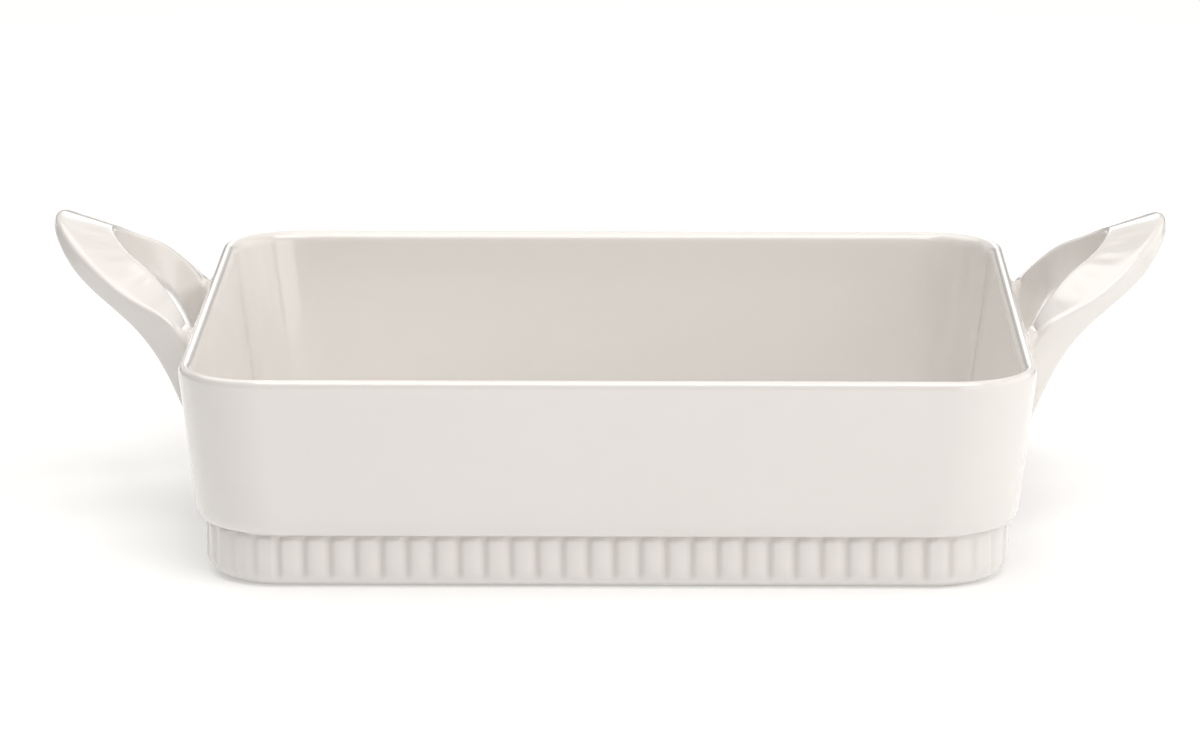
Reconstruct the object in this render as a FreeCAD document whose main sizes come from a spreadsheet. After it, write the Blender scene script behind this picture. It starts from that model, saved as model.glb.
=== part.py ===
import FreeCAD, Part
import Sketcher
import math
import os

# Lasagna dish in glazed stoneware: a basin with leaning walls on a ribbed foot band,
# and an arched strap handle stuck to each short end with clay slip.
# The origin is the middle of the foot on the table, +X runs along the dish and +Z is up.

# Driving sizes in millimetres and degrees.
SIZES = {
    # The basin, outside, at the rim.
    "basin_length": 320.0,
    "basin_width": 280.0,
    "basin_height": 81.0,
    "rim_corner": 32.0,
    "rim_round": 2.4,
    "wall_thick": 5.5,
    "wall_lean": 6.1,
    "inner_lean": 8.0,
    "floor_thick": 8.0,
    "floor_round": 14.0,
    # The foot band that the wall overhangs.
    "band_height": 20.4,
    "band_step": 2.9,
    "band_corner": 30.0,
    "nose_round": 2.6,
    "foot_round": 8.0,
    "foot_ring": 9.0,
    "foot_recess": 1.2,
    # The grooves that leave the ribs standing on the band; the first is beside the middle of the front.
    "rib_pitch": 9.6,
    "rib_start": 2.7,
    "groove_round": 1.5,
    # The handle's strap at the top of the arch; reach is out from the rim, rise up from the rim,
    # outer and inner the thickness on the side away from the loop and on the loop's side.
    "apex_reach": 44.6,
    "apex_rise": 29.7,
    "apex_lean": 16.8,
    "apex_width": 23.5,
    "apex_outer": 6.0,
    "apex_inner": 9.0,
    # The strap where the arch turns towards the dish.
    "bend_reach": 34.5,
    "bend_spread": 24.5,
    "bend_rise": 19.0,
    "bend_turn": 32.0,
    "bend_lean": 6.0,
    "bend_width": 22.5,
    "bend_outer": 10.0,
    "bend_inner": 16.0,
    # The strap half way down each leg.
    "leg_reach": 20.0,
    "leg_spread": 35.0,
    "leg_rise": 8.5,
    "leg_turn": 58.0,
    "leg_lean": -15.0,
    "leg_width": 21.0,
    "leg_outer": 12.5,
    "leg_inner": 19.5,
    # The leg where it swells towards the wall.
    "neck_reach": 8.0,
    "neck_spread": 43.5,
    "neck_rise": -5.2,
    "neck_turn": 76.0,
    "neck_lean": -4.0,
    "neck_width": 17.5,
    "neck_outer": 22.5,
    "neck_inner": 28.0,
    # The leg's foot on the end wall; drop is from the rim to its top.
    "root_spread": 46.0,
    "root_drop": 4.6,
    "root_width": 16.0,
    "root_height": 50.0,
    "root_round": 7.0,
    "strap_round": 2.4,
    # The layer of slip between leg and wall.
    "slip_thick": 0.6,
}

SHEET = "Sizes"
UP = FreeCAD.Vector(0, 0, 1)
ALONG = FreeCAD.Vector(1, 0, 0)
ACROSS = FreeCAD.Vector(0, 1, 0)
SIDE_NAMES = {-1: "front", 0: "middle", 1: "back"}


def add_sheet(doc):
    """Puts every driving size in the sheet, one named cell each."""
    sheet = doc.addObject("Spreadsheet::Sheet", SHEET)
    for row, (name, size) in enumerate(SIZES.items(), start=1):
        sheet.set(f"A{row}", name)
        sheet.set(f"B{row}", str(size))
        sheet.setAlias(f"B{row}", name)
    doc.recompute()
    return sheet


def cell(name):
    """The expression that reads one size from the sheet."""
    return f"{SHEET}.{name}"


def value(sketch, expression):
    """What an expression comes to with the sizes in the sheet."""
    return float(sketch.evalExpression(expression))


def rounded_loop(sketch, length, width, radius, deeper=0.0):
    """Draws four sides and four equal round corners that follow each other smoothly.

    The upper side is level and the two beside it are upright, and the left one can reach deeper.
    The sizes given are where it starts; constraints added later bind them.
    """
    half_long, half_wide = length / 2, width / 2
    flat_long, flat_wide = half_long - radius, half_wide - radius
    # Each side's start and end, and the centre of the corner that follows it.
    sides = [
        ((-flat_long, -half_wide - deeper), (flat_long, -half_wide), (flat_long, -flat_wide)),
        ((half_long, -flat_wide), (half_long, flat_wide), (flat_long, flat_wide)),
        ((flat_long, half_wide), (-flat_long, half_wide), (-flat_long, flat_wide)),
        ((-half_long, flat_wide), (-half_long, -flat_wide - deeper), (-flat_long, -flat_wide - deeper)),
    ]
    for number, (first, last, centre) in enumerate(sides):
        sketch.addGeometry(Part.LineSegment(FreeCAD.Vector(*first), FreeCAD.Vector(*last)))
        circle = Part.Circle(FreeCAD.Vector(*centre), UP, radius)
        turn = math.pi / 2 * (number - 1)
        sketch.addGeometry(Part.ArcOfCircle(circle, turn, turn + math.pi / 2))
    for edge in range(8):
        sketch.addConstraint(Sketcher.Constraint("Tangent", edge, 2, (edge + 1) % 8, 1))
    sketch.addConstraint(Sketcher.Constraint("Horizontal", 4))
    for edge in (2, 6):
        sketch.addConstraint(Sketcher.Constraint("Vertical", edge))
    for edge in (3, 5, 7):
        sketch.addConstraint(Sketcher.Constraint("Equal", 1, edge))


def bind(sketch, name, expression, kind, *ends):
    """Adds a named constraint between the ends whose value is an expression."""
    index = sketch.addConstraint(Sketcher.Constraint(kind, *ends, value(sketch, expression)))
    sketch.renameConstraint(index, name)
    sketch.setExpression(f"Constraints.{name}", expression)


def rounded_rectangle(sketch, length, width, corner):
    """Draws a centred rectangle with round corners, its three sizes bound to expressions."""
    rounded_loop(sketch, value(sketch, length), value(sketch, width), value(sketch, corner))
    sketch.addConstraint(Sketcher.Constraint("Horizontal", 0))
    sketch.addConstraint(Sketcher.Constraint("Symmetric", 7, 3, 3, 3, -1, 1))
    bind(sketch, "Length", length, "DistanceX", 6, 1, 2, 1)
    bind(sketch, "Width", width, "DistanceY", 0, 1, 4, 1)
    bind(sketch, "Corner", corner, "Radius", 1)


def strap_outline(sketch, width, outer, inner, corner):
    """Draws a section of the strap with round corners, as thick on its two sides as they say.

    The upper side is straight across; half the outer thickness lies above the middle.
    """
    deeper = value(sketch, inner) - value(sketch, outer)
    rounded_loop(sketch, value(sketch, width), value(sketch, outer), value(sketch, corner), deeper)
    bind(sketch, "Width", width, "DistanceX", 6, 1, 2, 1)
    bind(sketch, "Corner", corner, "Radius", 1)
    bind(sketch, "Half", f"{width} / 2 - {corner}", "DistanceX", -1, 1, 3, 3)
    bind(sketch, "Above", f"{outer} / 2 - {corner}", "DistanceY", -1, 1, 3, 3)
    bind(sketch, "Outer", f"{outer} - 2 * {corner}", "DistanceY", 1, 3, 3, 3)
    bind(sketch, "Inner", f"{inner} - 2 * {corner}", "DistanceY", 7, 3, 5, 3)


def level_sketch(body, name, height):
    """A level sketch of the body at a height given by an expression."""
    plane = next(item for item in body.Origin.OriginFeatures if item.Role == "XY_Plane")
    sketch = body.newObject("Sketcher::SketchObject", name)
    sketch.AttachmentSupport = [(plane, "")]
    sketch.MapMode = "FlatFace"
    sketch.setExpression("AttachmentOffset.Base.z", height)
    return sketch


def outline(body, name, height, length, width, corner):
    """A level outline of the basin: a rectangle with round corners."""
    sketch = level_sketch(body, name, height)
    rounded_rectangle(sketch, length, width, corner)
    return sketch


def edges_where(feature, test):
    """Names of the feature's edges whose points all pass the test."""
    names = []
    for number, edge in enumerate(feature.Shape.Edges, start=1):
        points = edge.discretize(5)
        if all(test(point) for point in points):
            names.append(f"Edge{number}")
    return names


def round_edges(body, name, base, edges, radius):
    """Rounds the named edges of the last feature."""
    feature = body.newObject("PartDesign::Fillet", name)
    feature.Base = (base, edges)
    feature.setExpression("Radius", radius)
    body.Document.recompute()
    return feature


def level_with(height):
    """Test for points that lie at one height."""
    return lambda point: abs(point.z - height) < 1e-4


def make_basin(doc, sheet):
    """The pressed basin: foot band with its ribs, leaning wall, hollow, rounded rim and recess."""
    body = doc.addObject("PartDesign::Body", "basin")
    lean = f"tan({cell('wall_lean')} * 1 deg)"
    wall_rise = f"({cell('basin_height')} - {cell('band_height')})"
    wall_inset = f"2 * {wall_rise} * {lean}"
    low_length = f"{cell('basin_length')} - {wall_inset}"
    low_width = f"{cell('basin_width')} - {wall_inset}"
    low_corner = f"{cell('band_corner')} + {cell('band_step')}"
    band_length = f"{low_length} - 2 * {cell('band_step')}"
    band_width = f"{low_width} - 2 * {cell('band_step')}"

    band_outline = outline(body, "band_outline", "0", band_length, band_width, cell("band_corner"))
    band = body.newObject("PartDesign::Pad", "band")
    band.Profile = band_outline
    band.setExpression("Length", cell("band_height"))
    doc.recompute()
    round_edges(body, "foot_edge", band, edges_where(band, level_with(0.0)), cell("foot_round"))
    make_grooves(body, sheet)

    low_outline = outline(body, "wall_foot", cell("band_height"), low_length, low_width, low_corner)
    rim_outline = outline(body, "wall_rim", cell("basin_height"), cell("basin_length"), cell("basin_width"),
                          cell("rim_corner"))
    wall = body.newObject("PartDesign::AdditiveLoft", "wall")
    wall.Profile = low_outline
    wall.Sections = [rim_outline]
    wall.Ruled = True
    doc.recompute()
    ledge = level_with(sheet.band_height)
    nose_edges = edges_where(wall, lambda point: ledge(point) and outside_band(point, sheet))
    round_edges(body, "nose_edge", wall, nose_edges, cell("nose_round"))

    hollow = make_hollow(body)
    floor_edges = edges_where(hollow, level_with(sheet.floor_thick))
    floor = round_edges(body, "floor_edge", hollow, floor_edges, cell("floor_round"))
    rim_edges = edges_where(floor, level_with(sheet.basin_height))
    round_edges(body, "rim_edge", floor, rim_edges, cell("rim_round"))

    recess_outline = outline(body, "recess_outline", "0",
                             f"{band_length} - 2 * ({cell('foot_round')} + {cell('foot_ring')})",
                             f"{band_width} - 2 * ({cell('foot_round')} + {cell('foot_ring')})",
                             f"{cell('band_corner')} - {cell('foot_round')}")
    recess = body.newObject("PartDesign::Pocket", "recess")
    recess.Profile = recess_outline
    recess.Reversed = True
    recess.setExpression("Length", cell("foot_recess"))
    body.Tip = recess
    doc.recompute()
    return body


def band_flats(sheet):
    """Half the straight stretch of the band's outline, along the dish and across it."""
    wall_rise = sheet.basin_height - sheet.band_height
    inset = wall_rise * math.tan(math.radians(sheet.wall_lean)) + sheet.band_step + sheet.band_corner
    return sheet.basin_length / 2 - inset, sheet.basin_width / 2 - inset


def outside_band(point, sheet):
    """True where a point of the ledge lies on the wall's outline, not on the band's."""
    flat_x, flat_y = band_flats(sheet)
    over_x = max(abs(point.x) - flat_x, 0.0)
    over_y = max(abs(point.y) - flat_y, 0.0)
    return math.hypot(over_x, over_y) > sheet.band_corner + sheet.band_step / 2


def make_hollow(body):
    """Hollows the basin from the rim down to the floor, with walls that thicken a little downwards."""
    lean = f"tan({cell('inner_lean')} * 1 deg)"
    depth = f"({cell('basin_height')} - {cell('floor_thick')})"
    top_length = f"{cell('basin_length')} - 2 * {cell('wall_thick')}"
    top_width = f"{cell('basin_width')} - 2 * {cell('wall_thick')}"
    corner = f"{cell('rim_corner')} - {cell('wall_thick')}"
    mouth = outline(body, "mouth_outline", cell("basin_height"), top_length, top_width, corner)
    floor = outline(body, "floor_outline", cell("floor_thick"), f"{top_length} - 2 * {depth} * {lean}",
                    f"{top_width} - 2 * {depth} * {lean}", corner)
    hollow = body.newObject("PartDesign::SubtractiveLoft", "hollow")
    hollow.Profile = mouth
    hollow.Sections = [floor]
    hollow.Ruled = True
    body.Document.recompute()
    return hollow


def quarter_length(sheet):
    """Length of a quarter of the band's outline, from mid side round a corner to mid side."""
    return sum(band_flats(sheet)) + sheet.band_corner * math.pi / 2


def band_point(sheet, distance):
    """The point that far round the band's outline, from the middle of the front to the right."""
    corner = sheet.band_corner
    flat_x, flat_y = band_flats(sheet)
    quarter, along = divmod(distance, quarter_length(sheet))
    if quarter % 2:
        along = quarter_length(sheet) - along
    turn = min(max((along - flat_x) / corner, 0.0), math.pi / 2)
    x = min(along, flat_x) + corner * math.sin(turn)
    y = flat_y + corner * math.cos(turn) - max(along - flat_x - corner * math.pi / 2, 0.0)
    return x if quarter < 2 else -x, y if quarter in (1, 2) else -y


def groove_places(sheet):
    """Evenly spaced points round the band's outline, one for each groove."""
    around = 4 * quarter_length(sheet)
    count = round(around / sheet.rib_pitch)
    first = sheet.rib_start % (around / count)
    return [band_point(sheet, first + around * number / count) for number in range(count)]


def make_grooves(body, sheet):
    """Cuts the upright grooves into the band, from the table up to the ledge."""
    sketch = level_sketch(body, "groove_outlines", "0")
    for number, (x, y) in enumerate(groove_places(sheet)):
        sketch.addGeometry(Part.Circle(FreeCAD.Vector(x, y, 0), UP, sheet.groove_round))
        if number:
            sketch.addConstraint(Sketcher.Constraint("Equal", 0, number))
    index = sketch.addConstraint(Sketcher.Constraint("Radius", 0, sheet.groove_round))
    sketch.renameConstraint(index, "Round")
    sketch.setExpression("Constraints.Round", cell("groove_round"))
    grooves = body.newObject("PartDesign::Pocket", "grooves")
    grooves.Profile = sketch
    grooves.Reversed = True
    grooves.setExpression("Length", cell("band_height"))
    body.Document.recompute()
    return grooves


def upright(turn, lean):
    """Turns a section upright, its width pointing away from the loop by a plan angle."""
    stand = FreeCAD.Rotation(UP, turn).multiply(FreeCAD.Rotation(ALONG, 90))
    return stand.multiply(FreeCAD.Rotation(UP, lean))


def strap_section(doc, sheet, station, side):
    """The strap's cross-section at one station; side is -1 in front, 0 in the middle, 1 behind."""
    sketch = doc.addObject("Sketcher::SketchObject", f"{station}_{SIDE_NAMES[side]}")
    strap_outline(sketch, cell(f"{station}_width"), cell(f"{station}_outer"), cell(f"{station}_inner"),
                  cell("strap_round"))
    turn = side * sheet.get(f"{station}_turn") if side else 0.0
    lean = sheet.get(f"{station}_lean")
    sketch.Placement = FreeCAD.Placement(FreeCAD.Vector(), upright(turn, lean))
    sketch.setExpression("Placement.Base.x", f"{cell('basin_length')} / 2 + {cell(station + '_reach')}")
    sketch.setExpression("Placement.Base.z", f"{cell('basin_height')} + {cell(station + '_rise')}")
    if side:
        sketch.setExpression("Placement.Base.y", f"{side} * {cell(station + '_spread')}")
    return sketch


def wall_frame(sheet):
    """The frame of the right end wall: origin at its rim edge, +X square out of the wall."""
    edge = FreeCAD.Vector(sheet.basin_length / 2, 0, sheet.basin_height)
    return FreeCAD.Placement(edge, FreeCAD.Rotation(ACROSS, sheet.wall_lean))


def root_section(doc, sheet, side):
    """The foot of a leg on the end wall, sunk into it by the thickness of the slip."""
    sketch = doc.addObject("Sketcher::SketchObject", f"root_{SIDE_NAMES[side]}")
    rounded_rectangle(sketch, cell("root_width"), cell("root_height"), cell("root_round"))
    drop = sheet.root_drop + sheet.root_height / 2
    centre = FreeCAD.Vector(-sheet.slip_thick, side * sheet.root_spread, -drop)
    sketch.Placement = wall_frame(sheet).multiply(FreeCAD.Placement(centre, upright(side * 90, 0)))
    return sketch


def make_strap(doc, sheet):
    """The whole strap, running from inside the wall over the arch and back into the wall."""
    front = [strap_section(doc, sheet, station, -1) for station in ("neck", "leg", "bend")]
    back = [strap_section(doc, sheet, station, 1) for station in ("bend", "leg", "neck")]
    arch = front + [strap_section(doc, sheet, "apex", 0)] + back
    strap = doc.addObject("Part::Loft", "strap")
    strap.Sections = [root_section(doc, sheet, -1)] + arch + [root_section(doc, sheet, 1)]
    strap.Solid = True
    strap.Ruled = False
    doc.recompute()
    return strap


def wall_block(doc, sheet, name, depth, side):
    """A block on the end wall, reaching one slip thickness out of it and the given depth into it.

    Side -1 takes the front half of the wall, 1 the back half and 0 all of it.
    """
    block = doc.addObject("Part::Box", name)
    block.setExpression("Length", f"{cell('slip_thick')} + {depth}")
    block.setExpression("Width", f"{cell('basin_width')} / {2 if side else 1}")
    block.setExpression("Height", f"2 * {cell('basin_height')}")
    doc.recompute()
    front = 0.0 if side == 1 else -sheet.basin_width / 2
    corner = FreeCAD.Vector(sheet.slip_thick - block.Length.Value, front, -sheet.basin_height)
    block.Placement = wall_frame(sheet).multiply(FreeCAD.Placement(corner, FreeCAD.Rotation()))
    return block


def boolean(doc, kind, label, base, tool):
    """A cut or a common of two objects."""
    result = doc.addObject(kind, label)
    result.Base = base
    result.Tool = tool
    result.Label = label
    return result


def mirrored(doc, label, source):
    """The same piece on the other end of the dish."""
    copy = doc.addObject("Part::Mirroring", label)
    copy.Source = source
    copy.Normal = ALONG
    copy.Label = label
    return copy


def make_handles(doc, sheet):
    """Both handles and the slip that sticks their legs to the end walls."""
    strap = make_strap(doc, sheet)
    inside = wall_block(doc, sheet, "inside_of_wall", f"{cell('basin_length')} / 2", 0)
    front = wall_block(doc, sheet, "front_slip_layer", "0", -1)
    back = wall_block(doc, sheet, "back_slip_layer", "0", 1)
    right = [
        boolean(doc, "Part::Cut", "right_handle", strap, inside),
        boolean(doc, "Part::Common", "right_front_slip", strap, front),
        boolean(doc, "Part::Common", "right_back_slip", strap, back),
    ]
    left = [mirrored(doc, piece.Label.replace("right", "left"), piece) for piece in right]
    doc.recompute()
    return right + left


def check(doc, pieces):
    """Stops before anything is written if an object failed or a piece isn't one sound solid."""
    for item in doc.Objects:
        if "Invalid" in item.State or "Error" in item.State:
            raise RuntimeError(f"{item.Label} failed: {item.State}")
    for piece in pieces:
        if piece.Shape.isNull() or not piece.Shape.isValid():
            raise RuntimeError(f"{piece.Label} has no sound shape")
        if len(piece.Shape.Solids) != 1:
            raise RuntimeError(f"{piece.Label} has {len(piece.Shape.Solids)} solids")


def main():
    doc = FreeCAD.newDocument("LasagnaDish")
    sheet = add_sheet(doc)
    pieces = [make_basin(doc, sheet)] + make_handles(doc, sheet)
    check(doc, pieces)
    os.makedirs("parts", exist_ok=True)
    for piece in pieces:
        piece.Shape.exportStep(f"parts/{piece.Label}.step")
        print(piece.Label, round(piece.Shape.Volume), "mm3")


main()
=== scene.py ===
import math

import bpy
import numpy as np
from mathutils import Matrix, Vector


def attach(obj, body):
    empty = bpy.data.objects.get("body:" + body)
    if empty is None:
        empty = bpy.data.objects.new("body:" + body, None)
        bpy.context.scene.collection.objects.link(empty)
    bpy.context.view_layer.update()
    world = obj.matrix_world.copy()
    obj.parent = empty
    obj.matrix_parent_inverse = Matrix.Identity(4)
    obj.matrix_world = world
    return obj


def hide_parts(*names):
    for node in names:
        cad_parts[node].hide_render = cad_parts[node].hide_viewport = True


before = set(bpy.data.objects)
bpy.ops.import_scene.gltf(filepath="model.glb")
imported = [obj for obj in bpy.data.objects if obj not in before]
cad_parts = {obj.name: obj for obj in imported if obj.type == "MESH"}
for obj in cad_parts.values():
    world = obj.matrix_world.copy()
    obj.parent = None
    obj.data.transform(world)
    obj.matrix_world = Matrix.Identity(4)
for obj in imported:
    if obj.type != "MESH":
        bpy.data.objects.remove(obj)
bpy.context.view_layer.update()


# The basin is one pressed piece of stoneware: a deep dish with leaning walls and a soft rim,
# standing on a foot band that it overhangs. Upright ribs run round the band. The whole piece is
# dipped in ivory glaze, and the ring that it stands on is wiped bare before firing.

# Sizes of the dish are in millimetres until a piece is made from them.
MM = 0.001
HALF_LENGTH = 160.0
HALF_WIDTH = 140.0
RIM_HEIGHT = 81.0
RIM_CORNER = 32.0
WALL_THICK = 5.5
WALL_LEAN = math.radians(6.1)
INNER_LEAN = math.radians(8.0)
# How far across and how far down the rim is rounded, on the outside and on the inside.
LIP_OUT, LIP_DOWN = 2.7, 3.6
LIP_IN, LIP_IN_DOWN = 2.8, 4.6
FLOOR_HEIGHT = 8.0
FLOOR_ROUND = 14.0
BAND_HEIGHT = 20.4
BAND_STEP = 2.9
BAND_CORNER = 30.0
NOSE_IN, NOSE_UP = 2.6, 6.3
FOOT_ROUND = 8.0
FOOT_RING = 9.0
FOOT_RECESS = 1.2
RECESS_EDGE = 0.6
# The inner corners are larger than arcs by the first share and set in more gently by the second,
# which comes in over this many rows from the rim's crest inwards.
EASE_GROWTH, EASE_SOFTENING = 0.167, 1.0 / 6.0
EASE_ROWS = 10
RIB_COUNT = 112
RIB_START = 2.7
RIB_DEPTH = 1.25
RIB_GAP = 2.6
RIB_TOP_ROUND = 2.6
RIB_TOP_DROP = 0.5
RIB_FADE_LOW, RIB_FADE_HIGH = 2.6, 6.0
RIB_CORNER_LOSS = 0.7
# Where a groove's side begins and ends, as shares of the gap, and how far a rib's face is crowned.
GROOVE_IN, GROOVE_OUT = -0.42, 0.5
RIB_CROWN = 0.12

# Where the mesh has an upright line in each rib, as shares of the pitch from groove to groove.
RIB_LINES = (0.0, 0.07, 0.14, 0.26, 0.5, 0.74, 0.86, 0.93)
# Its upright lines in each corner, one more this far before and after it, and the least step.
CORNER_STEPS, CORNER_LEAD, LEAST_STEP = 25, 0.4, 0.05
# Its rows on each stretch of the section, and the insets of the rings across the flat middles.
FOOT_ROWS, BAND_ROWS, NOSE_ROWS, WALL_ROWS = 8, 13, 10, 6
LIP_ROWS, LIP_IN_ROWS, FLOOR_ROUND_ROWS = 12, 14, 10
UNDERSIDE_RINGS, FLOOR_RINGS = (120.0, 70.0), (45.0, 80.0, 120.0)
# The turn in degrees of the foot's first row, and how far the band's rows keep from its ends.
FOOT_FIRST_TURN = 12.0
BAND_FROM_FOOT, BAND_FROM_LEDGE, LEDGE_EDGE = 1.2, 0.3, 0.1


def wall_inset(height):
    """How far the outer wall stands in from the rim's outermost line at a height."""
    over = np.clip((height - (RIM_HEIGHT - LIP_DOWN)) / LIP_DOWN, 0.0, 1.0)
    lip = LIP_OUT * (1.0 - np.sqrt(1.0 - over * over))
    return (RIM_HEIGHT - height) * math.tan(WALL_LEAN) + lip


def inner_inset(height):
    """The same for the inner wall."""
    over = np.clip((height - (RIM_HEIGHT - LIP_IN_DOWN)) / LIP_IN_DOWN, 0.0, 1.0)
    lip = LIP_IN * (1.0 - np.sqrt(1.0 - over * over))
    return WALL_THICK + (RIM_HEIGHT - height) * math.tan(INNER_LEAN) - lip


def eased(low, high, steps):
    """Heights that crowd together towards the high end, as a round stretch needs."""
    return low + (high - low) * np.sin(np.linspace(0.0, math.pi / 2, steps))


band_inset = wall_inset(BAND_HEIGHT) + BAND_STEP


def basin_profile():
    """The basin's section from the middle of the underside to the middle of the floor.

    Each row is the inset from the rim's outermost line, the height, the corner's radius in plan,
    and how much of the rib relief the row takes.
    """
    ring_out = band_inset + FOOT_ROUND
    ring_in = ring_out + FOOT_RING
    foot_corner = BAND_CORNER - FOOT_ROUND
    rows = [(inset, FOOT_RECESS, foot_corner / 2, 0.0) for inset in UNDERSIDE_RINGS]
    # The recess ends in a soft edge: steps across it, and the share of its depth at each.
    for across, depth in ((2.0, 1.0), (1.0, 0.9), (0.0, 0.5), (-0.5, 0.1), (-1.0, 0.0)):
        rows.append((ring_in + across * RECESS_EDGE, depth * FOOT_RECESS, foot_corner, 0.0))
    rows.append((ring_out, 0.0, foot_corner, 0.0))
    for turn in np.radians(np.linspace(FOOT_FIRST_TURN, 90.0, FOOT_ROWS)):
        inset = band_inset + FOOT_ROUND * (1.0 - math.sin(turn))
        height = FOOT_ROUND * (1.0 - math.cos(turn))
        rows.append((inset, height, BAND_CORNER - inset + band_inset, 1.0))
    for height in eased(FOOT_ROUND + BAND_FROM_FOOT, BAND_HEIGHT - BAND_FROM_LEDGE, BAND_ROWS):
        rows.append((band_inset, height, BAND_CORNER, 1.0))
    rows.append((band_inset - LEDGE_EDGE, BAND_HEIGHT - LEDGE_EDGE, BAND_CORNER, 1.0))
    nose_corner = BAND_CORNER + BAND_STEP
    for turn in np.radians(np.linspace(0.0, 90.0, NOSE_ROWS)):
        height = BAND_HEIGHT + NOSE_UP * (1.0 - math.cos(turn))
        inset = wall_inset(height) + NOSE_IN * (1.0 - math.sin(turn))
        rows.append((inset, height, nose_corner, 0.0))
    for height in np.linspace(BAND_HEIGHT + NOSE_UP, RIM_HEIGHT - LIP_DOWN, WALL_ROWS)[1:]:
        rows.append((wall_inset(height), height, RIM_CORNER, 0.0))
    # Over the rim the corner's radius shrinks with the inset, so that the outlines stay concentric.
    for height in eased(RIM_HEIGHT - LIP_DOWN, RIM_HEIGHT, LIP_ROWS)[1:]:
        inset = wall_inset(height)
        rows.append((inset, height, RIM_CORNER - inset + wall_inset(RIM_HEIGHT - LIP_DOWN), 0.0))
    crest_corner = rows[-1][2]
    for height in eased(RIM_HEIGHT - LIP_IN_DOWN, RIM_HEIGHT, LIP_IN_ROWS)[-2::-1]:
        inset = inner_inset(height)
        rows.append((inset, height, crest_corner - inset + wall_inset(RIM_HEIGHT), 0.0))
    mouth_corner = rows[-1][2]
    floor_inset = WALL_THICK + (RIM_HEIGHT - FLOOR_HEIGHT) * math.tan(INNER_LEAN)
    floor_inset += FLOOR_ROUND / math.tan((math.pi / 2 + INNER_LEAN) / 2)
    arc = []
    for turn in np.linspace(INNER_LEAN, math.pi / 2, FLOOR_ROUND_ROWS):
        height = FLOOR_HEIGHT + FLOOR_ROUND * (1.0 - math.sin(turn))
        arc.append((floor_inset - FLOOR_ROUND * math.cos(turn), height))
    for height in np.linspace(RIM_HEIGHT - LIP_IN_DOWN, arc[0][1], WALL_ROWS)[1:-1]:
        rows.append((inner_inset(height), height, mouth_corner, 0.0))
    for inset, height in arc:
        rows.append((inset, height, mouth_corner - inset + arc[0][0], 0.0))
    floor_corner = rows[-1][2]
    rows += [(inset, FLOOR_HEIGHT, floor_corner, 0.0) for inset in FLOOR_RINGS]
    return rows


def piece(name, points, faces):
    """A new piece from points in millimetres, its faces shaded smooth."""
    mesh = bpy.data.meshes.new(name)
    mesh.from_pydata((np.asarray(points) * MM).tolist(), [], faces)
    mesh.polygons.foreach_set("use_smooth", [True] * len(mesh.polygons))
    mesh.update()
    made = bpy.data.objects.new(name, mesh)
    bpy.context.scene.collection.objects.link(made)
    return made


def skin(rows, columns):
    """Faces of a tube of rings of points, closed at both ends by a middle point each."""
    faces = []
    for row in range(rows - 1):
        for column in range(columns):
            after = (column + 1) % columns
            low, high = row * columns, (row + 1) * columns
            faces.append((low + column, low + after, high + after, high + column))
    first, last = rows * columns, rows * columns + 1
    top = (rows - 1) * columns
    for column in range(columns):
        after = (column + 1) % columns
        faces.append((first, after, column))
        faces.append((last, top + column, top + after))
    return faces


flat_x = HALF_LENGTH - band_inset - BAND_CORNER
flat_y = HALF_WIDTH - band_inset - BAND_CORNER
corner_length = BAND_CORNER * math.pi / 2
quarter_length = flat_x + corner_length + flat_y
rib_pitch = 4 * quarter_length / RIB_COUNT

# Distances round the band, from the middle of the front towards the right, one for each mesh line.
lines = (np.arange(RIB_COUNT)[:, None] + np.array(RIB_LINES)) * rib_pitch + RIB_START
in_corner = np.linspace(0.0, corner_length, CORNER_STEPS)
in_corner = flat_x + np.append(in_corner, [-CORNER_LEAD, corner_length + CORNER_LEAD])
for number in range(4):
    turned = in_corner if number % 2 == 0 else quarter_length - in_corner
    lines = np.append(lines, turned + number * quarter_length)
round_band = np.sort(lines % (4 * quarter_length))
round_band = round_band[np.append(True, np.diff(round_band) > LEAST_STEP)]
quarter = np.floor(round_band / quarter_length)
along = round_band - quarter * quarter_length
along = np.where(quarter % 2 == 1, quarter_length - along, along)
share_x = np.minimum(along, flat_x) / flat_x
corner_turn = np.clip((along - flat_x) / BAND_CORNER, 0.0, math.pi / 2)
share_y = 1.0 - np.maximum(along - flat_x - corner_length, 0.0) / flat_y
side_x = np.where(quarter < 2, 1.0, -1.0)
side_y = np.where((quarter == 1) | (quarter == 2), 1.0, -1.0)


def basin_ring(inset, height, corner, ease):
    """One level outline of the basin as points, a rectangle with round corners.

    The corner is an arc where ease is 0; where it is 1 the corner begins and ends more gently.
    """
    size, power = corner * (1.0 + EASE_GROWTH * ease), 1.0 - EASE_SOFTENING * ease
    x = share_x * (HALF_LENGTH - inset - size) + size * np.sin(corner_turn) ** power
    y = share_y * (HALF_WIDTH - inset - size) + size * np.cos(corner_turn) ** power
    return np.stack([side_x * x, side_y * y, np.full(len(x), height)], axis=1)


profile = basin_profile()
crest = max(range(len(profile)), key=lambda number: profile[number][1])
inward = np.clip((np.arange(len(profile)) - crest) / EASE_ROWS, 0.0, 1.0)
basin_points = [basin_ring(*row[:3], ease) for row, ease in zip(profile, inward)]
basin_points.append(np.array([[0.0, 0.0, FOOT_RECESS], [0.0, 0.0, FLOOR_HEIGHT]]))
basin = piece("basin_glazed", np.concatenate(basin_points), skin(len(profile), len(round_band)))


def note(obj, name, kind, values):
    """Keeps a value at each of the piece's points, for its nodes to read."""
    attribute = obj.data.attributes.new(name, kind, "POINT")
    attribute.data.foreach_set("vector" if kind == "FLOAT_VECTOR" else "value", np.ravel(values))


# The two last points of the basin, the middles of underside and floor, take no part in the ribs.
rows = len(profile)
from_start = np.tile(round_band - RIB_START, rows)
note(basin, "round_band", "FLOAT", np.append(from_start, [0.0, 0.0]) * MM)
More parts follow.
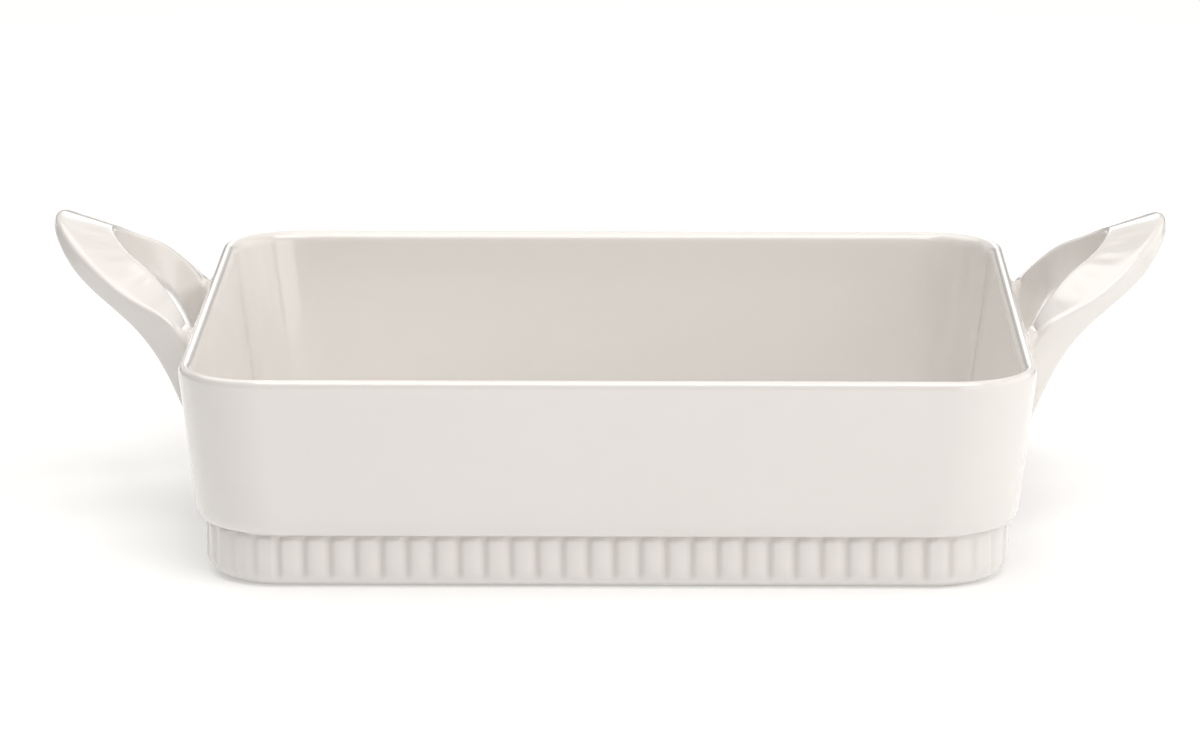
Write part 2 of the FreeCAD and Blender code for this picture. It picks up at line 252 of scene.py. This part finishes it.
# The ribs are pressed less deep round the corners.
pressed = np.outer([row[3] for row in profile], 1.0 - RIB_CORNER_LOSS * np.sin(2 * corner_turn))
note(basin, "ribbed", "FLOAT", np.append(pressed, [0.0, 0.0]))
outward = [side_x * np.sin(corner_turn), side_y * np.cos(corner_turn), np.zeros(len(corner_turn))]
outward = np.tile(np.stack(outward, axis=1), (rows, 1))
note(basin, "outward", "FLOAT_VECTOR", np.concatenate([outward, np.zeros((2, 3))]))


class Wire:
    """A socket in a node tree. Arithmetic on it adds Math nodes to the tree."""

    def __init__(self, tree, socket=None):
        self.tree = tree
        self.socket = socket

    def node(self, kind, settings=None, inputs=None, output=0):
        """Adds a node: its settings first, then the values or links of its sockets."""
        made = self.tree.nodes.new(kind)
        for name, value in (settings or {}).items():
            setattr(made, name, value)
        for key, value in (inputs or {}).items():
            if isinstance(value, Wire):
                self.tree.links.new(value.socket, made.inputs[key])
            else:
                made.inputs[key].default_value = value
        return Wire(self.tree, made.outputs[output])

    def math(self, operation, *values):
        return self.node("ShaderNodeMath", {"operation": operation}, dict(enumerate(values)))

    def __add__(self, other):
        return self.math("ADD", self, other)

    def __sub__(self, other):
        return self.math("SUBTRACT", self, other)

    def __rsub__(self, other):
        return self.math("SUBTRACT", other, self)

    def __mul__(self, other):
        return self.math("MULTIPLY", self, other)

    def __truediv__(self, other):
        return self.math("DIVIDE", self, other)

    def __neg__(self):
        return self * -1.0

    __radd__ = __add__
    __rmul__ = __mul__

    def step(self, low, high):
        """Rises smoothly from 0 at low to 1 at high."""
        values = {0: self, 1: low, 2: high, 3: 0.0, 4: 1.0}
        return self.node("ShaderNodeMapRange", {"interpolation_type": "SMOOTHSTEP"}, values)


IVORY = (0.82, 0.795, 0.766, 1.0)
IVORY_DEEP = (0.72, 0.687, 0.650, 1.0)
CLAY_PALE = (0.62, 0.53, 0.42, 1.0)
CLAY_DARK = (0.47, 0.39, 0.30, 1.0)
# Scale and detail of the glaze's slow drift, of its mottle and of the bare clay's grain.
DRIFT, MOTTLE, GRAIN = (11.0, 2.0), (95.0, 3.0), (1400.0, 4.0)
# How deep the colour is at least, and what drift, mottle and pooled glaze add to it.
DEPTH_LEAST, DEPTH_DRIFT, DEPTH_MOTTLE, DEPTH_POOL = 0.12, 0.25, 0.15, 0.75
# The same for the roughness, with what the bare clay adds.
ROUGH_LEAST, ROUGH_DRIFT, ROUGH_POOL, ROUGH_BARE = 0.18, 0.06, 0.05, 0.55
# The wiped foot is bare below the first height and glazed from the second on.
BARE_BELOW, GLAZED_FROM = 0.1, 0.55
COAT = 0.8
GLAZE_IOR = 1.5
RIPPLE_STRENGTH, RIPPLE_HEIGHT = 0.35, 0.6
BASIN_COAT_ROUGH = 0.08


def glaze(name, coat_rough, bare_foot):
    """Ivory glaze on stoneware: clear gloss over an opaque body, a little deeper where it pools."""
    material = bpy.data.materials.new(name)
    material.use_nodes = True
    tree = material.node_tree
    shader = tree.nodes["Principled BSDF"]
    start = Wire(tree)
    place = start.node("ShaderNodeTexCoord", output=3)
    height = start.node("ShaderNodeSeparateXYZ", None, {0: place}, output=2)

    def cloud(scale, detail):
        inputs = {"Vector": place, "Scale": scale, "Detail": detail}
        return start.node("ShaderNodeTexNoise", None, inputs)

    def mixed(share, first, second):
        inputs = {0: share, 6: first, 7: second}
        return start.node("ShaderNodeMix", {"data_type": "RGBA"}, inputs, output=2)

    drift = cloud(*DRIFT)
    mottle = cloud(*MOTTLE)
    pool = start.node("ShaderNodeAttribute", {"attribute_name": "pool"}, output=2)
    depth = (drift - 0.5) * DEPTH_DRIFT + (mottle - 0.5) * DEPTH_MOTTLE
    depth = depth + pool * DEPTH_POOL + DEPTH_LEAST
    depth = depth.node("ShaderNodeClamp", None, {0: depth})
    colour = mixed(depth, IVORY, IVORY_DEEP)
    rough = ROUGH_LEAST + drift * ROUGH_DRIFT + pool * ROUGH_POOL
    if bare_foot:
        bare = 1.0 - height.step(BARE_BELOW * MM, GLAZED_FROM * MM)
        clay = mixed(cloud(*GRAIN), CLAY_PALE, CLAY_DARK)
        colour = mixed(bare, colour, clay)
        rough = rough + bare * ROUGH_BARE
        tree.links.new((COAT - bare * COAT).socket, shader.inputs["Coat Weight"])
    else:
        shader.inputs["Coat Weight"].default_value = COAT
    ripple = {"Strength": RIPPLE_STRENGTH, "Distance": RIPPLE_HEIGHT * MM, "Height": drift}
    bump = start.node("ShaderNodeBump", None, ripple)
    tree.links.new(colour.socket, shader.inputs["Base Color"])
    tree.links.new(rough.socket, shader.inputs["Roughness"])
    tree.links.new(bump.socket, shader.inputs["Normal"])
    shader.inputs["Coat Roughness"].default_value = coat_rough
    shader.inputs["IOR"].default_value = GLAZE_IOR
    return material


basin_glaze = glaze("basin_glaze", BASIN_COAT_ROUGH, bare_foot=True)


def rib_tree():
    """A node tree that presses the ribs into the band: each rib stands between two grooves,
    round at its top under the ledge and running out on the foot's round edge."""
    tree = bpy.data.node_groups.new("pressed_ribs", "GeometryNodeTree")
    tree.interface.new_socket("Geometry", in_out="INPUT", socket_type="NodeSocketGeometry")
    for name in ("Pitch", "Gap", "Depth", "Top", "Top Round", "Fade Low", "Fade High"):
        tree.interface.new_socket(name, in_out="INPUT", socket_type="NodeSocketFloat")
    tree.interface.new_socket("Glaze", in_out="INPUT", socket_type="NodeSocketMaterial")
    tree.interface.new_socket("Geometry", in_out="OUTPUT", socket_type="NodeSocketGeometry")
    start = Wire(tree)
    entry = tree.nodes.new("NodeGroupInput")
    given = {socket.name: Wire(tree, socket) for socket in entry.outputs}

    def kept(name, kind):
        return start.node("GeometryNodeInputNamedAttribute", {"data_type": kind}, {"Name": name})

    position = start.node("GeometryNodeInputPosition")
    height = start.node("ShaderNodeSeparateXYZ", None, {0: position}, output=2)
    turns = kept("round_band", "FLOAT") / given["Pitch"]
    from_rib = (turns.math("FRACT", turns) - 0.5) * given["Pitch"]
    from_rib = from_rib.math("ABSOLUTE", from_rib)
    half_rib = (given["Pitch"] - given["Gap"]) * 0.5
    beside = from_rib - (half_rib - given["Top Round"])
    above = height - (given["Top"] - given["Top Round"])
    out_x = beside.math("MAXIMUM", beside, 0.0)
    out_z = above.math("MAXIMUM", above, 0.0)
    corner = out_x * out_x + out_z * out_z
    corner = corner.math("SQRT", corner)
    inside = beside.math("MAXIMUM", beside, above)
    inside = inside.math("MINIMUM", inside, 0.0)
    from_edge = corner + inside - given["Top Round"]
    groove = from_edge.step(given["Gap"] * GROOVE_IN, given["Gap"] * GROOVE_OUT)
    from_crown = from_rib / (given["Pitch"] * 0.5)
    relief = groove + from_crown * from_crown * RIB_CROWN
    relief = relief * height.step(given["Fade Low"], given["Fade High"]) * kept("ribbed", "FLOAT")
    sunk = start.node("ShaderNodeVectorMath", {"operation": "SCALE"},
                      {0: kept("outward", "FLOAT_VECTOR"), "Scale": -relief * given["Depth"]})
    sunken = start.node("GeometryNodeSetPosition", None,
                        {"Geometry": given["Geometry"], "Offset": sunk})
    pooled = start.node("GeometryNodeStoreNamedAttribute", {"data_type": "FLOAT", "domain": "POINT"},
                        {"Geometry": sunken, "Name": "pool", "Value": relief})
    whole = start.node("GeometryNodeRealizeInstances", None, {"Geometry": pooled})
    glazed = start.node("GeometryNodeSetMaterial", None,
                        {"Geometry": whole, "Material": given["Glaze"]})
    leave = tree.nodes.new("NodeGroupOutput")
    tree.links.new(glazed.socket, leave.inputs["Geometry"])
    return tree


def settle(obj, tree, values):
    """Runs a node tree on a piece with the named values and keeps the result as its plain mesh."""
    modifier = obj.modifiers.new(tree.name, "NODES")
    modifier.node_group = tree
    for item in tree.interface.items_tree:
        if item.in_out == "INPUT" and item.name in values:
            modifier[item.identifier] = values[item.name]
    evaluated = obj.evaluated_get(bpy.context.evaluated_depsgraph_get())
    plain = bpy.data.meshes.new_from_object(evaluated)
    obj.modifiers.remove(modifier)
    obj.data = plain


settle(basin, rib_tree(), {
    "Pitch": rib_pitch * MM,
    "Gap": RIB_GAP * MM,
    "Depth": RIB_DEPTH * MM,
    "Top": (BAND_HEIGHT - RIB_TOP_DROP) * MM,
    "Top Round": RIB_TOP_ROUND * MM,
    "Fade Low": RIB_FADE_LOW * MM,
    "Fade High": RIB_FADE_HIGH * MM,
    "Glaze": basin_glaze,
})
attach(basin, "root")
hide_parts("basin")


# Each handle is a strap of clay cast on its own, arched from two legs that swell into the end wall.
# Its upper face is flat and carries soft thumb flutes across it. The strap is stuck on leather-hard
# and glazed together with the basin.

STRAP_ROUND = 2.4
# Each station of the strap: reach out from the rim's end, spread from the middle, rise above the rim,
# turn in plan and lean of the width in degrees, width, thickness at the outer and at the inner side.
APEX = (44.6, 0.0, 29.65, 0.0, 16.8, 23.5, 6.0, 9.0)
BEND = (34.5, 24.5, 19.0, 32.0, 6.0, 22.5, 10.0, 16.0)
LEG = (20.0, 35.0, 8.5, 58.0, -15.0, 21.0, 12.5, 19.5)
NECK = (8.0, 43.5, -5.2, 76.0, -4.0, 17.5, 22.5, 28.0)
ROOT_SPREAD = 46.0
ROOT_DROP = 4.6
ROOT_WIDTH = 16.0
ROOT_HEIGHT = 50.0
ROOT_ROUND = 7.0
SLIP_THICK = 0.6
FLUTE_PITCH = 9.6
FLUTE_DEPTH = 0.5
FLUTE_FIRST, FLUTE_LAST = 6.0, 50.0
# The share of its depth that the last flute has lost, and how a flute is set and fades across.
FLUTE_LOSS = 0.4
FLUTE_SET, FLUTE_FADE = 1.4, 1.3
FLUTE_POOL = 0.35
STRAP_COAT_ROUGH = 0.16
# The mesh: rings along the strap, and lines along each flat side and round corner of its section.
STRAP_RINGS = 151
EDGE_LINES, CORNER_LINES = 12, 7


def section_lines(width, outer, inner, corner):
    """Points round a cross-section with round corners, and their outward directions.

    Its upper side is straight across, and its inner side can be deeper than its outer one.
    """
    half = width / 2 - corner
    top, low_outer, low_inner = outer / 2 - corner, corner - outer / 2, outer / 2 - inner + corner
    tilt = math.atan2(low_outer - low_inner, 2 * half)
    # The centre of each corner and the directions between which it turns.
    corners = (((half, top), 0.0, math.pi / 2),
               ((-half, top), math.pi / 2, math.pi),
               ((-half, low_inner), math.pi, 1.5 * math.pi + tilt),
               ((half, low_outer), 1.5 * math.pi + tilt, 2 * math.pi))
    points, facing = [], []
    for number, (centre, first, last) in enumerate(corners):
        for turn in np.linspace(first, last, CORNER_LINES):
            facing.append((math.cos(turn), math.sin(turn)))
            points.append(np.array(centre) + corner * np.array(facing[-1]))
        begin = points[-1]
        ahead = np.array(corners[(number + 1) % 4][0]) + corner * np.array(facing[-1])
        for share in np.linspace(0.0, 1.0, EDGE_LINES + 2)[1:-1]:
            points.append(begin + (ahead - begin) * share)
            facing.append(facing[-1])
    return np.array(points), np.array(facing)


def strap_section(station, side):
    """A cross-section of the right handle's strap; side is -1 in front and 1 behind."""
    reach, spread, rise, turn, lean, width, outer, inner = station
    turn, lean = math.radians(turn) * side, math.radians(lean)
    level = np.array([math.cos(turn), math.sin(turn), 0.0])
    upright = np.array([0.0, 0.0, 1.0])
    centre = np.array([HALF_LENGTH + reach, spread * side, RIM_HEIGHT + rise])
    across = math.cos(lean) * level + math.sin(lean) * upright
    upward = math.cos(lean) * upright - math.sin(lean) * level
    points, _ = section_lines(width, outer, inner, STRAP_ROUND)
    return centre, centre + points[:, :1] * across + points[:, 1:] * upward


def root_section(side):
    """The foot of a leg, lying on the slip against the end wall."""
    up_wall = np.array([math.sin(WALL_LEAN), 0.0, math.cos(WALL_LEAN)])
    off_wall = np.array([math.cos(WALL_LEAN), 0.0, -math.sin(WALL_LEAN)])
    drop = ROOT_DROP + ROOT_HEIGHT / 2
    centre = np.array([HALF_LENGTH, side * ROOT_SPREAD, RIM_HEIGHT]) - up_wall * drop
    centre = centre + off_wall * SLIP_THICK
    points, _ = section_lines(ROOT_WIDTH, ROOT_HEIGHT, ROOT_HEIGHT, ROOT_ROUND)
    return centre, centre + points[:, :1] * np.array([0.0, side, 0.0]) + points[:, 1:] * up_wall


def smooth_through(knots, values, places):
    """Values at the places on a natural cubic spline through the knots."""
    gaps = np.diff(knots)
    count = len(knots)
    system = np.eye(count)
    pull = np.zeros_like(values)
    for k in range(1, count - 1):
        system[k, k - 1:k + 2] = gaps[k - 1], 2 * (gaps[k - 1] + gaps[k]), gaps[k]
        before, after = (values[k] - values[k - 1]) / gaps[k - 1], (values[k + 1] - values[k]) / gaps[k]
        pull[k] = 6 * (after - before)
    bend = np.linalg.solve(system, pull.reshape(count, -1)).reshape(values.shape)
    spans = np.clip(np.searchsorted(knots, places, side="right") - 1, 0, count - 2)
    shape = (-1,) + (1,) * (values.ndim - 1)
    width = gaps[spans].reshape(shape)
    after = ((places - knots[spans]) / gaps[spans]).reshape(shape)
    before = 1.0 - after
    line = before * values[spans] + after * values[spans + 1]
    curve = (before ** 3 - before) * bend[spans] + (after ** 3 - after) * bend[spans + 1]
    return line + curve * width * width / 6


front = [root_section(-1)] + [strap_section(station, -1) for station in (NECK, LEG, BEND)]
back = [strap_section(station, 1) for station in (BEND, LEG, NECK)] + [root_section(1)]
stations = front + [strap_section(APEX, 1)] + back
centres = np.array([centre for centre, _ in stations])
knots = np.append(0.0, np.cumsum(np.linalg.norm(np.diff(centres, axis=0), axis=1)))
outlines = np.array([points for _, points in stations])
# Rings crowd together at both feet, where the legs swell.
share = np.linspace(-1.0, 1.0, STRAP_RINGS)
places = knots[-1] * (0.5 + 0.5 * np.sin(share * math.pi / 2))
strap = smooth_through(knots, outlines, places)

# The flutes are waves along the middle of the upper face, from the apex down both sides.
upper = np.arange(CORNER_LINES, CORNER_LINES + EDGE_LINES)
middle_line = strap[:, CORNER_LINES + EDGE_LINES // 2]
runs = np.append(0.0, np.cumsum(np.linalg.norm(np.diff(middle_line, axis=0), axis=1)))
from_apex = np.abs(runs - runs[len(runs) // 2])
wave = 0.5 - 0.5 * np.cos(2 * math.pi * (from_apex - FLUTE_FIRST) / FLUTE_PITCH)
wave[(from_apex < FLUTE_FIRST) | (from_apex > FLUTE_LAST)] = 0.0
wave *= 1.0 - FLUTE_LOSS * from_apex / FLUTE_LAST
over_face = np.linspace(0.0, 1.0, EDGE_LINES + 2)[1:-1]
across_face = np.sin(over_face ** FLUTE_SET * math.pi) ** FLUTE_FADE
dip = np.zeros(strap.shape[:2])
dip[:, upper] = wave[:, None] * across_face
lift = np.cross(np.gradient(strap, axis=1), np.gradient(strap, axis=0))
lift /= np.linalg.norm(lift, axis=2, keepdims=True)
middle = strap.mean(axis=1, keepdims=True)
lift *= np.sign(np.sum(lift * (strap - middle), axis=2, keepdims=True))
strap = strap - lift * (dip * FLUTE_DEPTH)[:, :, None]

handle_glaze = glaze("handle_glaze", STRAP_COAT_ROUGH, bare_foot=False)
MIRROR = np.array([-1.0, 1.0, 1.0])


def handle(name, node, mirror):
    """One handle, closed at both feet."""
    ends = np.array([strap[0].mean(axis=0), strap[-1].mean(axis=0)])
    points = np.concatenate([strap.reshape(-1, 3), ends])
    faces = skin(len(strap), strap.shape[1])
    if mirror:
        points = points * MIRROR
    else:
        faces = [face[::-1] for face in faces]
    made = piece(name, points, faces)
    note(made, "pool", "FLOAT", np.append(dip.ravel() * FLUTE_POOL, [0.0, 0.0]))
    made.data.materials.append(handle_glaze)
    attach(made, "root")
    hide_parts(node)


handle("right_handle_glazed", "right_handle", mirror=False)
handle("left_handle_glazed", "left_handle", mirror=True)


# Slip, a cream of the same clay, sticks each leg to the end wall. It is a thin layer under the foot,
# and what squeezes out is smoothed by finger into a hollow fillet between leg, wall and rim.

# How far the fillet reaches along the wall and the leg: at the sides, below, and above the leg,
# where it reaches out along the leg and up the wall.
FILLET_SIDE, FILLET_FOOT = 3.2, 5.0
FILLET_TOP_OUT, FILLET_TOP_UP = 5.4, 5.1
# The turns in degrees between which the fillet shows, and the mesh's rows on it.
FILLET_FROM, FILLET_TO, FILLET_ROWS = 10.0, 80.0, 13
# How far its edges are tucked into leg and wall, and how many of the strap's rings make a leg.
TUCK = 0.12
LEG_RINGS = 60


def end_wall(height):
    """How far out the end wall's surface stands at a height, level with the crest above the rim."""
    return HALF_LENGTH - wall_inset(np.minimum(height, RIM_HEIGHT))


def on_wall(points, distance):
    """Moves points square to the dish so that they stand at a distance from the end wall."""
    placed = points.copy()
    placed[:, 0] = end_wall(points[:, 2]) + distance
    return placed


def slip_rings(side):
    """Rings of the slip round one leg of the right handle, from inside the leg to inside the wall."""
    leg = strap[:LEG_RINGS] if side < 0 else strap[::-1][:LEG_RINGS]
    away = leg[:, :, 0] - end_wall(leg[:, :, 2])
    _, facing = section_lines(ROOT_WIDTH, ROOT_HEIGHT, ROOT_HEIGHT, ROOT_ROUND)
    out = np.stack([np.zeros(len(facing)), facing[:, 0] * side, facing[:, 1]], axis=1)
    above, below = np.maximum(facing[:, 1], 0.0), np.maximum(-facing[:, 1], 0.0)
    sides_and_foot = FILLET_SIDE + below * (FILLET_FOOT - FILLET_SIDE)
    up_wall = sides_and_foot + above * (FILLET_TOP_UP - FILLET_SIDE)
    off_wall = sides_and_foot + above * (FILLET_TOP_OUT - FILLET_SIDE)

    def leg_at(distance):
        """The leg's surface where it stands that far from the wall, for each line along the leg."""
        found = []
        for line in range(leg.shape[1]):
            order = np.argsort(away[:, line])
            at, track = away[order, line], leg[order, line]
            found.append([np.interp(distance[line], at, track[:, axis]) for axis in range(3)])
        return np.array(found)

    rings = [leg_at(np.full(len(out), SLIP_THICK)) - out * TUCK]
    rings.append(leg_at(off_wall) - out * TUCK)
    for turn in np.radians(np.linspace(FILLET_FROM, FILLET_TO, FILLET_ROWS)):
        distance = off_wall * (1.0 - math.sin(turn))
        spread = (up_wall * (1.0 - math.cos(turn)))[:, None]
        rings.append(on_wall(leg_at(np.maximum(distance, SLIP_THICK)) + out * spread, distance))
    last = rings[-1] + out * TUCK
    last[:, 2] = np.minimum(last[:, 2], RIM_HEIGHT - TUCK)
    rings.append(on_wall(last, -TUCK))
    return np.array(rings)


slip_glaze = glaze("slip_glaze", STRAP_COAT_ROUGH, bare_foot=False)


def slip(name, node, side, mirror):
    """The slip of one leg as a closed piece: the layer under the foot with its fillet."""
    rings = slip_rings(side)
    ends = [rings[0].mean(axis=0), rings[-1].mean(axis=0)]
    points = np.concatenate([rings.reshape(-1, 3), ends])
    faces = skin(len(rings), rings.shape[1])
    if mirror == (side < 0):
        faces = [face[::-1] for face in faces]
    made = piece(name, points * MIRROR if mirror else points, faces)
    made.data.materials.append(slip_glaze)
    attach(made, "root")
    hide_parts(node)


for end, mirror in (("left", True), ("right", False)):
    for place, side in (("front", -1), ("back", 1)):
        slip(f"{end}_{place}_slip_fillet", f"{end}_{place}_slip", side, mirror)


# The table is a plain pale sheet with a painted glow: it gives off light though it is no lamp, which
# lightens the shadow of the dish on it so that it stays white. Soft boxes light the dish from the
# right, the front, above and the left, a broad one fills the far side like a pale wall, and a small one
# in front of it draws a white line along the rims of the end walls.

TABLE_HALF = 4.0
TABLE_GREY = (0.72, 0.72, 0.72, 1.0)
TABLE_GLOW, TABLE_GLOW_STRENGTH = (1.0, 1.0, 1.0, 1.0), 0.3
LIGHT_COLOUR = (1.0, 0.975, 0.95)
ROOM_STRENGTH = 0.12
# Each light: name, place, where it points, width and height in metres, and watts.
LIGHTS = (
    ("key", (0.9, -1.5, 0.55), (0.0, 0.0, 0.05), 1.0, 0.9, 4.5),
    ("side", (2.2, 0.1, 0.9), (0.0, 0.0, 0.05), 3.6, 1.6, 21.0),
    ("front", (0.4, -1.0, 2.2), (0.0, 0.2, 0.0), 1.8, 1.4, 30.0),
    ("overhead", (0.0, 0.9, 2.4), (0.0, 0.9, 0.0), 3.6, 2.4, 12.0),
    ("left", (-0.85, 0.4, 2.2), (0.0, 0.1, 0.0), 2.4, 2.4, 28.0),
    ("backdrop", (0.0, 2.2, 1.2), (0.0, 0.0, 1.2), 5.0, 1.6, 12.0),
    ("behind", (0.0, 2.2, 0.75), (0.0, 0.0, 0.08), 0.65, 0.45, 1.7),
)

table_mesh = bpy.data.meshes.new("table")
corners = [(-TABLE_HALF, -TABLE_HALF, 0.0), (TABLE_HALF, -TABLE_HALF, 0.0),
           (TABLE_HALF, TABLE_HALF, 0.0), (-TABLE_HALF, TABLE_HALF, 0.0)]
table_mesh.from_pydata(corners, [], [(0, 1, 2, 3)])
table = bpy.data.objects.new("table", table_mesh)
bpy.context.scene.collection.objects.link(table)
table_paint = bpy.data.materials.new("table_paint")
table_paint.use_nodes = True
sheet = table_paint.node_tree.nodes["Principled BSDF"]
sheet.inputs["Base Color"].default_value = TABLE_GREY
sheet.inputs["Roughness"].default_value = 1.0
sheet.inputs["Specular IOR Level"].default_value = 0.0
# Painted light: the sheet glows though it is no lamp, lightening the shadow the dish casts on it.
sheet.inputs["Emission Color"].default_value = TABLE_GLOW
sheet.inputs["Emission Strength"].default_value = TABLE_GLOW_STRENGTH
table_mesh.materials.append(table_paint)


def softbox(name, place, aim, width, height, power):
    """A flat rectangular light pointing at a place."""
    lamp = bpy.data.lights.new(name, "AREA")
    lamp.shape = "RECTANGLE"
    lamp.size = width
    lamp.size_y = height
    lamp.energy = power
    lamp.color = LIGHT_COLOUR
    made = bpy.data.objects.new(name, lamp)
    made.location = place
    made.rotation_euler = (Vector(aim) - Vector(place)).to_track_quat("-Z", "Y").to_euler()
    bpy.context.scene.collection.objects.link(made)


for light in LIGHTS:
    softbox(*light)
world = bpy.data.worlds.new("studio")
world.use_nodes = True
room = world.node_tree.nodes["Background"]
room.inputs["Color"].default_value = (*LIGHT_COLOUR, 1.0)
room.inputs["Strength"].default_value = ROOM_STRENGTH
bpy.context.scene.world = world
bpy.context.scene.view_settings.view_transform = "Standard"


# The camera stands in front of the dish, a little above it and far off, as with a long lens.
# It looks at a point close to the middle of the dish, half way up.

AZIMUTH = math.radians(0.64)
ELEVATION = math.radians(13.0)
DISTANCE = 2.215
TARGET = Vector((-0.0039, 0.0, 0.0510))
PHOTO_WIDTH = 1200
FOCAL_PIXELS = 5659.0
SENSOR_WIDTH = 36.0

lens = bpy.data.cameras.new("camera")
lens.sensor_fit = "HORIZONTAL"
lens.sensor_width = SENSOR_WIDTH
lens.lens = SENSOR_WIDTH * FOCAL_PIXELS / PHOTO_WIDTH
camera = bpy.data.objects.new("camera", lens)
to_camera = Vector((math.sin(AZIMUTH) * math.cos(ELEVATION),
                    -math.cos(AZIMUTH) * math.cos(ELEVATION),
                    math.sin(ELEVATION)))
camera.location = TARGET + to_camera * DISTANCE
camera.rotation_euler = (-to_camera).to_track_quat("-Z", "Y").to_euler()
bpy.context.scene.collection.objects.link(camera)
bpy.context.scene.camera = camera
